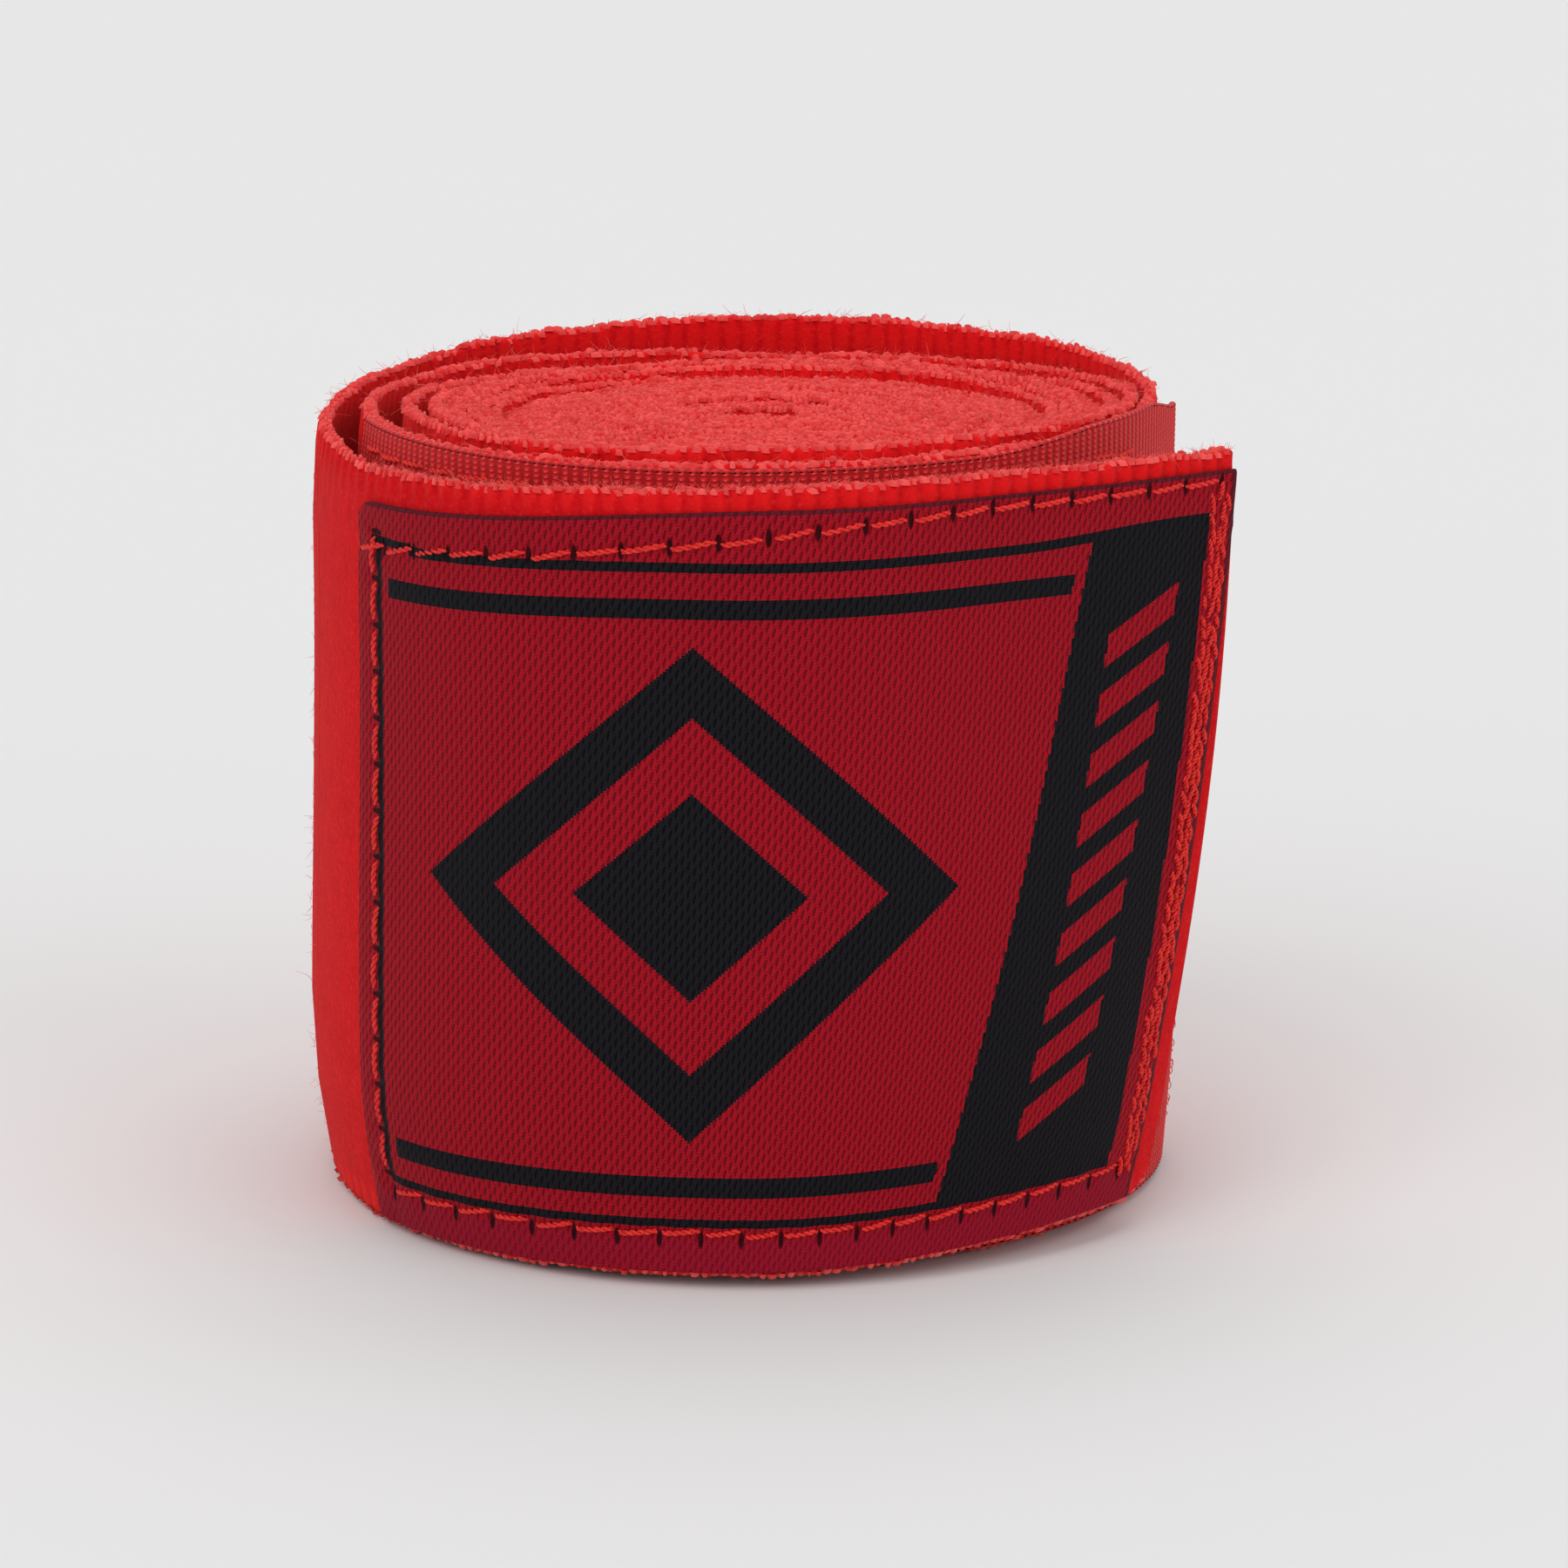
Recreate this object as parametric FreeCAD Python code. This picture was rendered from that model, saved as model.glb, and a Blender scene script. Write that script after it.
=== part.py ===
"""A rolled boxing hand wrap: one 2.45 m elastic cotton band wound up on itself and closed by a hook-and-loop tab.

Units are millimetres. The roll stands on one end face: +Z is the roll's axis, the origin is on the axis at the
lower end face, and the label on the closing tab faces -Y. Every flat piece is a ribbon: a strip of the band's
path, between two offsets from its middle line, cut to a height range and extruded along Z.
"""

import FreeCAD, Part
import math
import os

# ---- driving dimensions -------------------------------------------------------------------------------
BAND_WIDTH = 50.0  # height of the standing roll
BAND_THICK = 0.72
CURL_RADIUS = 1.15  # the two curls of the S in the core; the S crosses the origin
CURL_START_ANGLE = 340.0  # where the band's inner end lies on the first curl
FIRST_STEP = 1.75  # growth from the second curl to the half turn that goes round both
CORE_STEP = 1.1  # growth per half turn where the thumb loop lies between the turns
CORE_HALF_TURNS = 5
ROLL_STEP = 0.4  # growth per half turn of the tight turns
ROLL_HALF_TURNS = 37
EASED_STEP = 0.6  # growth per half turn of the looser turns outside them
EASED_HALF_TURNS = 4
LOOSE_STEP = 1.32  # growth per half turn of the last turn, which rides over the fastener patches

HINGE_ANGLE = 195.0  # where the tab parts from the roll, degrees from +X
HINGE_GAP = 0.05  # path length between the roll's end and the tab's start
TAB_LEAVE_ANGLE = 295.0  # where the tab's free end stops following the roll
TAIL_RADIUS = 48.0  # the free end straightens to this radius

LABEL_START = 8.4  # path length from the hinge to the label
LABEL_LENGTH = 62.0
LABEL_THICK = 0.35
LABEL_LOW, LABEL_HIGH = 0.8, 47.8
TAB_END_MARGIN = 1.2  # band beyond the label at the free end

HOOK_THICK = 0.9
HOOK_LOW, HOOK_HIGH = 4.0, 46.0
HOOK_INSET = 2.0  # from the label's two ends
LOOP_THICK = 0.9
LOOP_START_ANGLE = 198.0
LOOP_LEAVE_ANGLE = 340.0
LOOP_FREE_END = 10.5  # unsewn end that stands off the roll
LOOP_END_RADIUS = 200.0

THREAD_THICK = 0.2
THREAD_WIDTH = 0.4
STITCH_PITCH = 2.9
STITCH_LENGTH = 2.2
TOP_SEAM_DROP = 1.5  # from the label's edges to its seams
BOTTOM_SEAM_RISE = 2.15
SIDE_SEAM_INSET = 1.9
ZIGZAG_COLUMNS = 3
ZIGZAG_PITCH = 0.9
LOOP_SEAM_INSET = 1.6

THUMB_TAPE_THICK = 0.4
THUMB_TAPE_WIDTH = 12.0
THUMB_GAP = 0.1  # between the band and the tape, and between the tape's two layers
THUMB_LOOP_LENGTH = 48.0
THUMB_START = 8.0  # path length from the band's inner end to the sewn tails
BARTACK_BARS = 5
BARTACK_PITCH = 1.1
BARTACK_THICK = 0.15

HALF = BAND_THICK / 2
LABEL_TOP = HALF + LABEL_THICK  # the label's outer face, from the band's middle line
LOOP_TOP = HALF + LOOP_THICK


# ---- the path -----------------------------------------------------------------------------------------
class Arc:
    """An arc of the middle line: centre x and y, radius, and its two angles in degrees.

    Offsets are to the right of the way the path runs, which is outwards on a counter-clockwise arc.
    """

    def __init__(self, x, y, radius, start, end):
        self.x, self.y, self.radius, self.start, self.end = x, y, radius, start, end

    def length(self):
        return math.radians(abs(self.end - self.start)) * self.radius

    def cut(self, start, end):
        return Arc(self.x, self.y, self.radius, start, end)

    def point(self, angle, offset):
        side = 1 if self.end > self.start else -1
        reach = self.radius + side * offset
        a = math.radians(angle)
        return FreeCAD.Vector(self.x + reach * math.cos(a), self.y + reach * math.sin(a), 0)

    def edge(self, offset):
        middle = (self.start + self.end) / 2
        points = [self.point(angle, offset) for angle in (self.start, middle, self.end)]
        return Part.Arc(*points).toShape()

    def straightened(self, radius, length):
        """The arc of another radius that goes on from this one's end without a corner."""
        a = math.radians(self.end)
        x = self.x + (self.radius - radius) * math.cos(a)
        y = self.y + (self.radius - radius) * math.sin(a)
        return Arc(x, y, radius, self.end, self.end + math.degrees(length / radius))


def wound_arcs():
    """The S in the core, then half turns outwards, each on a centre moved along X so that they join smoothly."""
    core = [FIRST_STEP] + [CORE_STEP] * CORE_HALF_TURNS
    wound = [ROLL_STEP] * ROLL_HALF_TURNS + [EASED_STEP] * EASED_HALF_TURNS
    x, radius, start = -CURL_RADIUS, CURL_RADIUS, 0.0
    arcs = [
        Arc(-x, 0.0, radius, CURL_START_ANGLE, 180.0),
        Arc(x, 0.0, radius, start, start + 180.0),
    ]
    for step in core + wound + [LOOSE_STEP] * 2:
        start = 180.0 - start
        radius += step
        x += step if start else -step
        arcs.append(Arc(x, 0.0, radius, start, start + 180.0))
    return arcs


def between(arcs, low, high):
    """The stretch of a path from path length low to path length high."""
    found, travelled = [], 0.0
    for arc in arcs:
        length = arc.length()
        a = max(low - travelled, 0.0)
        b = min(high - travelled, length)
        if b - a > 1e-6:
            turn = (arc.end - arc.start) / length
            found.append(arc.cut(arc.start + a * turn, arc.start + b * turn))
        travelled += length
    return found


def total(arcs):
    return sum(arc.length() for arc in arcs)


def ribbon_face(arcs, inner, outer):
    """The flat face between two offsets of a path."""
    outside = [arc.edge(outer) for arc in arcs]
    inside = [arc.edge(inner) for arc in reversed(arcs)]
    first, last = arcs[0], arcs[-1]
    far = Part.makeLine(last.point(last.end, outer), last.point(last.end, inner))
    near = Part.makeLine(first.point(first.start, inner), first.point(first.start, outer))
    return Part.Face(Part.Wire(outside + [far] + inside + [near]))


def ribbon(arcs, inner, outer, low, high):
    face = ribbon_face(arcs, inner, outer)
    face.translate(FreeCAD.Vector(0, 0, low))
    return face.extrude(FreeCAD.Vector(0, 0, high - low))


# ---- seams --------------------------------------------------------------------------------------------
def row_seam(arcs, low, high, offset, height):
    """Stitches that follow the path at one height."""
    stitches = []
    for i in range(int((high - low) // STITCH_PITCH)):
        start = low + (i + 0.5) * STITCH_PITCH - STITCH_LENGTH / 2
        run = between(arcs, start, start + STITCH_LENGTH)
        stitches.append(
            ribbon(run, offset, offset + THREAD_THICK, height, height + THREAD_WIDTH)
        )
    return Part.makeCompound(stitches)


def column_seam(arcs, at, low, high, offset):
    """Stitches that stand one above the other at one place on the path."""
    run = between(arcs, at, at + THREAD_WIDTH)
    stitches = []
    for i in range(int((high - low) // STITCH_PITCH)):
        base = low + (i + 0.5) * STITCH_PITCH - STITCH_LENGTH / 2
        stitches.append(ribbon(run, offset, offset + THREAD_THICK, base, base + STITCH_LENGTH))
    return Part.makeCompound(stitches)


# ---- pieces on the roll -------------------------------------------------------------------------------
def make_wrap_band(roll):
    return ribbon(roll, -HALF, HALF, 0, BAND_WIDTH)


def make_thumb_loop(roll):
    """A narrow tape folded into a loop and laid back along the band, so that the roll covers it."""
    end = THUMB_START + THUMB_LOOP_LENGTH
    run = between(roll, THUMB_START, end)
    first = HALF + THUMB_GAP
    second = first + THUMB_TAPE_THICK + THUMB_GAP
    layers = [ribbon_face(run, low, low + THUMB_TAPE_THICK) for low in (first, second)]
    last = run[-1]
    fold_centre = last.point(last.end, second - THUMB_GAP / 2)
    fold_outer = THUMB_TAPE_THICK + THUMB_GAP / 2
    disc = Part.makeCylinder(fold_outer, 1).cut(Part.makeCylinder(THUMB_GAP / 2, 1))
    keep = Part.makeBox(4 * fold_outer, 2 * fold_outer, 1)
    keep.translate(FreeCAD.Vector(-2 * fold_outer, 0, 0))
    half_ring = disc.common(keep)
    half_ring.rotate(FreeCAD.Vector(0, 0, 0), FreeCAD.Vector(0, 0, 1), last.end)
    half_ring.translate(fold_centre)
    tape = layers[0].extrude(FreeCAD.Vector(0, 0, 1))
    tape = tape.fuse([layers[1].extrude(FreeCAD.Vector(0, 0, 1)), half_ring]).removeSplitter()
    footprint = min(tape.Faces, key=lambda face: face.CenterOfMass.z)
    low = (BAND_WIDTH - THUMB_TAPE_WIDTH) / 2
    footprint.translate(FreeCAD.Vector(0, 0, low))
    return footprint.extrude(FreeCAD.Vector(0, 0, THUMB_TAPE_WIDTH))


def make_thumb_bartack(roll):
    """Bars of thread across the two tails of the thumb loop."""
    offset = HALF + 2 * (THUMB_GAP + THUMB_TAPE_THICK)
    low = (BAND_WIDTH - THUMB_TAPE_WIDTH) / 2 + 1
    bars = []
    for i in range(BARTACK_BARS):
        at = THUMB_START + 1 + i * BARTACK_PITCH
        run = between(roll, at, at + THREAD_WIDTH)
        bars.append(
            ribbon(run, offset, offset + BARTACK_THICK, low, low + THUMB_TAPE_WIDTH - 2)
        )
    return Part.makeCompound(bars)


def loop_patch_path(carrier):
    """The front half turn that carries the loop patch, and the patch's end standing off it."""
    sewn = carrier.cut(LOOP_START_ANGLE, LOOP_LEAVE_ANGLE)
    return [sewn, sewn.straightened(LOOP_END_RADIUS, LOOP_FREE_END)]


# ---- pieces on the tab --------------------------------------------------------------------------------
def tab_path(carrier):
    """From just past the hinge round the roll, then the straighter free end."""
    start = HINGE_ANGLE + math.degrees(HINGE_GAP / carrier.radius)
    held = carrier.cut(start, TAB_LEAVE_ANGLE)
    length = LABEL_START + LABEL_LENGTH + TAB_END_MARGIN
    return [held, held.straightened(TAIL_RADIUS, length - held.length())]


def make_tab_end_seam(tab):
    """Columns of tight stitches that hold the label and the hook patch at the free end."""
    columns = []
    for i in range(ZIGZAG_COLUMNS):
        at = LABEL_START + LABEL_LENGTH - 1.0 - i * ZIGZAG_PITCH
        lift = STITCH_PITCH / 2 * (i % 2)
        columns.append(column_seam(tab, at, LABEL_LOW + 4 + lift, LABEL_HIGH - 5 + lift, LABEL_TOP))
    return Part.makeCompound([s for column in columns for s in column.Solids])


def main():
    arcs = wound_arcs()
    *inner_turns, last_turn = arcs
    loop_carrier = arcs[-3]
    roll = inner_turns + [last_turn.cut(180.0, HINGE_ANGLE)]
    tab = tab_path(last_turn)
    loop_path = loop_patch_path(loop_carrier)
    label_end = LABEL_START + LABEL_LENGTH
    loop_sewn = loop_path[0].length()

    parts = {
        "wrap_band": make_wrap_band(roll),
        "thumb_loop": make_thumb_loop(roll),
        "thumb_loop_bartack": make_thumb_bartack(roll),
        "loop_fastener_patch": ribbon(loop_path, HALF, LOOP_TOP, 0, BAND_WIDTH),
        "loop_patch_top_seam": row_seam(
            loop_path, 1, loop_sewn, LOOP_TOP, BAND_WIDTH - LOOP_SEAM_INSET - THREAD_WIDTH
        ),
        "loop_patch_bottom_seam": row_seam(loop_path, 1, loop_sewn, LOOP_TOP, LOOP_SEAM_INSET),
        "loop_patch_end_seam": column_seam(
            loop_path, LOOP_SEAM_INSET, HOOK_LOW, HOOK_HIGH, LOOP_TOP
        ),
        "closing_tab_band": ribbon(tab, -HALF, HALF, 0, BAND_WIDTH),
        "hook_fastener_patch": ribbon(
            between(tab, LABEL_START + HOOK_INSET, label_end - HOOK_INSET),
            -HALF - HOOK_THICK,
            -HALF,
            HOOK_LOW,
            HOOK_HIGH,
        ),
        "woven_label": ribbon(
            between(tab, LABEL_START, label_end), HALF, LABEL_TOP, LABEL_LOW, LABEL_HIGH
        ),
        "label_top_seam": row_seam(
            tab, LABEL_START, label_end, LABEL_TOP, LABEL_HIGH - TOP_SEAM_DROP
        ),
        "label_bottom_seam": row_seam(
            tab, LABEL_START + SIDE_SEAM_INSET, label_end, LABEL_TOP, LABEL_LOW + BOTTOM_SEAM_RISE
        ),
        "label_side_seam": column_seam(
            tab, LABEL_START + SIDE_SEAM_INSET, LABEL_LOW + 3, LABEL_HIGH - 3.5, LABEL_TOP
        ),
        "tab_end_seam": make_tab_end_seam(tab),
    }

    os.makedirs("parts", exist_ok=True)
    for name, shape in parts.items():
        shape.exportStep(f"parts/{name}.step")
        print(f"{name}: {len(shape.Solids)} solid(s), {shape.Volume:.1f} mm3, valid {shape.isValid()}")
    hinge = last_turn.point(HINGE_ANGLE, HALF)
    print(f"band length {total(roll) + total(tab):.0f} mm, hinge at x {hinge.x:.3f}, y {hinge.y:.3f}")


main()
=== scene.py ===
import math

import bpy
import numpy as np
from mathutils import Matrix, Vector


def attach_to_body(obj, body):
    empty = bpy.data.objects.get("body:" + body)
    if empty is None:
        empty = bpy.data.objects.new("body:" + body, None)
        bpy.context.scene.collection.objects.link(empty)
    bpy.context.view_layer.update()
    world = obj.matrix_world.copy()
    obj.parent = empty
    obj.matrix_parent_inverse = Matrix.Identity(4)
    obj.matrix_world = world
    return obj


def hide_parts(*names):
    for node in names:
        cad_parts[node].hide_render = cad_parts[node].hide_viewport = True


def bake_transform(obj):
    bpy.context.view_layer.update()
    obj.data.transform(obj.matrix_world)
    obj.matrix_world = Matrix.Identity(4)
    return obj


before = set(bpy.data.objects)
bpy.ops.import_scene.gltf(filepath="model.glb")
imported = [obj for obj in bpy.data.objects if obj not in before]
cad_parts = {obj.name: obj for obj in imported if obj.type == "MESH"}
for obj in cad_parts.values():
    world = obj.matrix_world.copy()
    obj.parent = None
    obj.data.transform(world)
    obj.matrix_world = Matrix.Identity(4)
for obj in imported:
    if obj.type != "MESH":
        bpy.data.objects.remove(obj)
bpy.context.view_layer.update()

# Lengths are millimetres until a mesh is made. The path repeats the driving dimensions of the CAD part.
MM = 0.001
BAND_WIDTH = 50.0
RIB_PITCH = 1.3  # of the ribs along the band's edges
HALF = 0.36  # half the band's thickness
NAP = 0.02  # by which the brushed cloth stands past its thickness
CURL_RADIUS = 1.15
CURL_START_ANGLE = 340.0
GROWTH = [1.75] + [1.1] * 5 + [0.4] * 37 + [0.6] * 4 + [1.32] * 2  # of the radius, half turn by half turn
HINGE_ANGLE = 195.0
LOOP_START_ANGLE = 198.0
LOOP_LEAVE_ANGLE = 340.0
LOOP_FREE_END = 10.5
LOOP_END_RADIUS = 200.0
LOOP_BASE = 0.45  # woven ground of the loop tape; its pile stands on it
LOOP_LOW, LOOP_HIGH = 0.25, 49.8
LOOP_DOT_U, LOOP_DOT_V = 0.64, 0.33  # pitch of its woven dots
HOOK_BASE = 0.4
HOOK_LOW, HOOK_HIGH = 4.0, 46.0
TAB_LEAVE_ANGLE = 295.0
TAB_LENGTH = 71.6
TAIL_HUG_RADIUS = 29.0  # the free end's lower edge stays on the roll
TAIL_LIFT_RADIUS = 110.0  # its upper edge stands off
LEFT_SLANT = 0.6
RIGHT_SLANT = 7.5
LABEL_START = 8.4
LABEL_LENGTH = 62.0
LABEL_THICK = 0.35
LABEL_LOW, LABEL_HEIGHT = 0.8, 47.0
LABEL_HEM = 0.4  # by which the seen label reaches below its CAD solid
LABEL_TOP = HALF + LABEL_THICK
TAB_MARGIN = TAB_LENGTH - LABEL_START - LABEL_LENGTH
STITCH_PITCH = 2.9
SIDE_SEAM = 1.9  # from the label's left edge
SIDE_LOW = 3.0  # its first stitch, from the label's lower edge
SIDE_COUNT = 14  # stitches in an upright seam
LOW_FIRST = SIDE_SEAM + 0.4  # first stitch of the lower seam
ROW_LOW, ROW_HIGH = 2.15, 42.5  # seams, from the label's lower edge
ROW_RISE, ROW_SPAN = 3.8, (-5.0, 45.0)  # of the upper seam, and where along the label it rises
TOP_SAG, TOP_SPAN = 1.7, 30.0  # how much lower the label's upper edge lies at the left, and how far along
LINE_SAG, LINE_SPAN = 0.7, (3.0, 25.0)  # the same for the black lines along it
WEAVE_U, WEAVE_V, WEAVE_STAGGER = 0.38, 0.85, 0.34  # the label's floats
THUMB_START, THUMB_LENGTH = 8.0, 48.0
THUMB_THICK, THUMB_WIDTH, THUMB_GAP = 0.4, 12.0, 0.1

# The label's art, from the label's lower left corner.
THIN_TOP, THIN_BOTTOM = (43.3, 43.9), (2.55, 3.1)
THICK_TOP, THICK_BOTTOM = (40.5, 41.7), (4.5, 5.8)
POST = (2.1, 2.7)
STRIPE_LEFT, STRIPE_LEFT_LEAN = 42.7, 0.19
STRIPE_RIGHT, STRIPE_RIGHT_LEAN = 58.7, 0.03
LOZENGE_MIDDLE, LOZENGE_REACH = (24.6, 23.4), (17.6, 15.4)
BAR_PITCH, BAR_SHARE, BAR_SLOPE, BAR_REACH = 3.7, 0.56, -0.55, 2.5

RED = (0.80, 0.010, 0.012)
# DEEP_RED is partly painted shade, partly the nap's own mottle: the band is mixed towards it where its relief
# is low.
DEEP_RED = (0.55, 0.003, 0.008)
FADED_RED = (0.66, 0.003, 0.010)
PINK = (0.90, 0.10, 0.09)
YARN_DARK = (0.74, 0.028, 0.032)
YARN_LIGHT = (0.97, 0.105, 0.098)
YARN_FIBRE = (0.97, 0.14, 0.125)
LINT_DARK = (0.85, 0.03, 0.03)
LINT_LIGHT = (0.93, 0.16, 0.14)
CRIMSON = (0.38, 0.0055, 0.015)
# CRIMSON_GAP is painted shade in the twill's gaps beside its floats and in the dips at their ends.
CRIMSON_GAP = (0.16, 0.0015, 0.006)
CRIMSON_SHADE = (0.29, 0.003, 0.018)
CRIMSON_HEM = (0.28, 0.005, 0.030)
BLACK = (0.010, 0.009, 0.012)
# BLACK_GAP is painted shade in the black twill's gaps and dips.
BLACK_GAP = (0.002, 0.002, 0.003)
LABEL_EDGE = (0.040, 0.010, 0.018)
# STITCH_HOLE is painted shade in the needle holes.
STITCH_HOLE = (0.010, 0.001, 0.003)
THREAD_DARK = (0.64, 0.010, 0.010)
THREAD_RED = (0.94, 0.042, 0.028)
FLOOR_GREY = (0.79, 0.79, 0.79)

rng = np.random.default_rng(11)


def smooth(low, high, value):
    t = np.clip((value - low) / (high - low), 0, 1)
    return t * t * (3 - 2 * t)


# ---- paths --------------------------------------------------------------------------------------------
class Path:
    """A chain of arcs, each of centre x, centre y, radius, start angle and end angle."""

    def __init__(self, arcs):
        self.arcs = np.array(arcs, float)
        self.sweep = np.abs(self.arcs[:, 4] - self.arcs[:, 3])
        self.lengths = np.radians(self.sweep) * self.arcs[:, 2]
        self.knots = np.concatenate([[0], np.cumsum(self.lengths)])
        self.turned = np.concatenate([[0], np.cumsum(self.sweep)])
        self.total = self.knots[-1]

    def find(self, s):
        i = np.clip(np.searchsorted(self.knots, s, side="right") - 1, 0, len(self.arcs) - 1)
        return i, (s - self.knots[i]) / self.lengths[i]

    def at(self, s):
        """Points of the middle line and unit normals to its right."""
        i, share = self.find(s)
        x, y, radius, start, end = np.moveaxis(self.arcs[i], -1, 0)
        angle = np.radians(start + share * (end - start))
        radial = np.stack([np.cos(angle), np.sin(angle)], -1)
        side = np.sign(end - start)[..., None]
        return np.stack([x, y], -1) + radius[..., None] * radial, radial * side

    def turned_at(self, s):
        i, share = self.find(s)
        return self.turned[i] + share * self.sweep[i]


def wound_arcs():
    """The S-shaped start, then half turns whose radius grows by GROWTH."""
    x, radius, start = -CURL_RADIUS, CURL_RADIUS, 0.0
    arcs = [(-x, 0.0, radius, CURL_START_ANGLE, 180.0), (x, 0.0, radius, 0.0, 180.0)]
    for step in GROWTH:
        start = 180.0 - start
        radius += step
        x += step if start else -step
        arcs.append((x, 0.0, radius, start, start + 180.0))
    return arcs


def straightened(arc, radius, length):
    """The arc of another radius that goes on from the end of arc."""
    x, y, old, _, end = arc
    a = math.radians(end)
    x += (old - radius) * math.cos(a)
    y += (old - radius) * math.sin(a)
    return (x, y, radius, end, end + math.degrees(length / radius))


ARCS = wound_arcs()
TAB_X, TAB_Y, TAB_RADIUS = ARCS[-1][:3]
ROLL = Path(ARCS[:-1] + [(TAB_X, TAB_Y, TAB_RADIUS, 180.0, HINGE_ANGLE)])
LOOP_SEWN = ARCS[-3][:3] + (LOOP_START_ANGLE, LOOP_LEAVE_ANGLE)
LOOP = Path([LOOP_SEWN, straightened(LOOP_SEWN, LOOP_END_RADIUS, LOOP_FREE_END)])
LOOP_HELD = Path([LOOP_SEWN, straightened(LOOP_SEWN, LOOP_SEWN[2], LOOP_FREE_END)])


def stand(xy, z):
    """Points in space: out of round, leaning in at the upper right, full on the left, tucked in below."""
    z = np.broadcast_to(z, xy.shape[:-1])
    angle = np.arctan2(xy[..., 1], xy[..., 0])
    right = smooth(-5, 22, xy[..., 0])
    left = 1 - smooth(-26, 2, xy[..., 0])
    far_left = 1 - smooth(-28, -14, xy[..., 0])
    oval = 0.006 * np.cos(2 * angle - 0.9) + 0.004 * np.cos(3 * angle + 0.5)
    lean = 0.05 * smooth(14, 46, z) + 0.022 * np.clip(1 - z / 8, 0, 1)
    belly = 0.025 * (1 - smooth(8, 42, z)) - 0.047 * np.clip(1 - z / 12, 0, 1) ** 2
    shoulder = 0.03 * np.clip(z / 8 - 5.3, 0, 1) ** 2
    size = 1 + oval - lean * right + belly * left - shoulder * far_left
    return np.concatenate([xy * size[..., None], z[..., None]], -1)


def loosened(point, z):
    """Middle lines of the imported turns, set in from the loose outer ones at the upper left and back."""
    radius = np.hypot(point[..., 0], point[..., 1])
    angle = np.arctan2(point[..., 1], point[..., 0])
    packed = np.clip((radius - 7) / 13.5, 0, 1) * (1 - smooth(23.6, 26.0, radius))
    facing = smooth(-0.1, 0.8, np.cos(angle - math.radians(150)))
    pull = 2.3 * packed * facing * smooth(28, 46, z)
    return point * (1 - pull / (radius + 1))[..., None]


def on_roll(s, offset, z):
    point, normal = ROLL.at(s)
    return stand(loosened(point, z) + normal * np.asarray(offset)[..., None], z)


def on_loop_tape(s, offset, z):
    """The loop tape: its free end stands off at the top and lies on the roll lower down."""
    held, held_normal = LOOP_HELD.at(s)
    free, free_normal = LOOP.at(s)
    lift = 0.6 * smooth(0.35, 1.0, np.broadcast_to(z, held.shape[:-1]) / BAND_WIDTH)[..., None]
    normal = held_normal + (free_normal - held_normal) * lift
    return stand(held + (free - held) * lift + normal * np.asarray(offset)[..., None], z)


def on_tab(s, offset, z):
    """The closing tab: it follows the roll, then its upper corner stands off and its lower one doesn't.

    Its lower edge rises towards the free end, which slants.
    """
    low = np.clip(1 - z / BAND_WIDTH, 0, 1)
    raised = z + low**2 * (0.5 * smooth(10, 36, s) + 1.2 * smooth(36, TAB_LENGTH, s))
    skew = LEFT_SLANT * smooth(0, LABEL_START, s) * (1 - smooth(LABEL_START, 40, s))
    s = s + low * skew - low**1.5 * RIGHT_SLANT * smooth(25, TAB_LENGTH, s)
    ripple = 0.10 * np.sin(0.33 * s + 0.7) * (z / BAND_WIDTH) ** 6 * smooth(2, 12, s)
    leave = math.radians(TAB_LEAVE_ANGLE - HINGE_ANGLE) * TAB_RADIUS
    lift = smooth(0, 1, z / BAND_WIDTH)
    tail = 1 / ((1 - lift) / TAIL_HUG_RADIUS + lift / TAIL_LIFT_RADIUS)
    a = math.radians(HINGE_ANGLE) + np.minimum(s, leave) / TAB_RADIUS
    b = a + np.maximum(s - leave, 0) / tail
    reach = np.broadcast_to(offset, b.shape) + ripple
    x = TAB_X + TAB_RADIUS * np.cos(a) + tail * (np.cos(b) - np.cos(a)) + reach * np.cos(b)
    y = TAB_Y + TAB_RADIUS * np.sin(a) + tail * (np.sin(b) - np.sin(a)) + reach * np.sin(b)
    return stand(np.stack([x, y], -1), raised)


def on_tab_band(s, offset, z):
    """The tab's band, whose end is level with the label's at the top and shows past it lower down."""
    margin = np.interp(z, [3, 25, 44, 48], [2.8, 1.5, 0.5, 0.1])
    return on_tab(s + (margin - TAB_MARGIN) * smooth(62, TAB_LENGTH, s), offset, z)


# ---- heights of the edges -----------------------------------------------------------------------------
# Upper edge of the band, by degrees of winding back from the hinge, then by radius in the core.
RIM_BACK = [0, 20, 65, 110, 155, 200, 245, 290, 335, 380, 425, 470, 515, 560, 605, 650, 695,
            740, 830, 920, 1010, 1100, 1190, 1280, 1370, 1460, 1550]
RIM_TOP = [48.6, 49.0, 50.2, 50.9, 50.9, 50.2, 50.0, 50.0, 49.7, 49.5, 49.3, 48.6, 49.2, 50.2, 50.7, 50.8,
           50.2, 49.5, 47.8, 49.7, 50.7, 49.5, 47.4, 48.9, 50.2, 49.3, 48.3]
DOME_RADIUS = [0, 1.5, 3.5, 6, 10, 14, 17, 18.4, 19.4, 20.6, 22]
DOME_TOP = [47.3, 47.8, 48.7, 49.1, 49.0, 48.7, 48.5, 48.2, 49.1, 49.4, 49.2]


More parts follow.
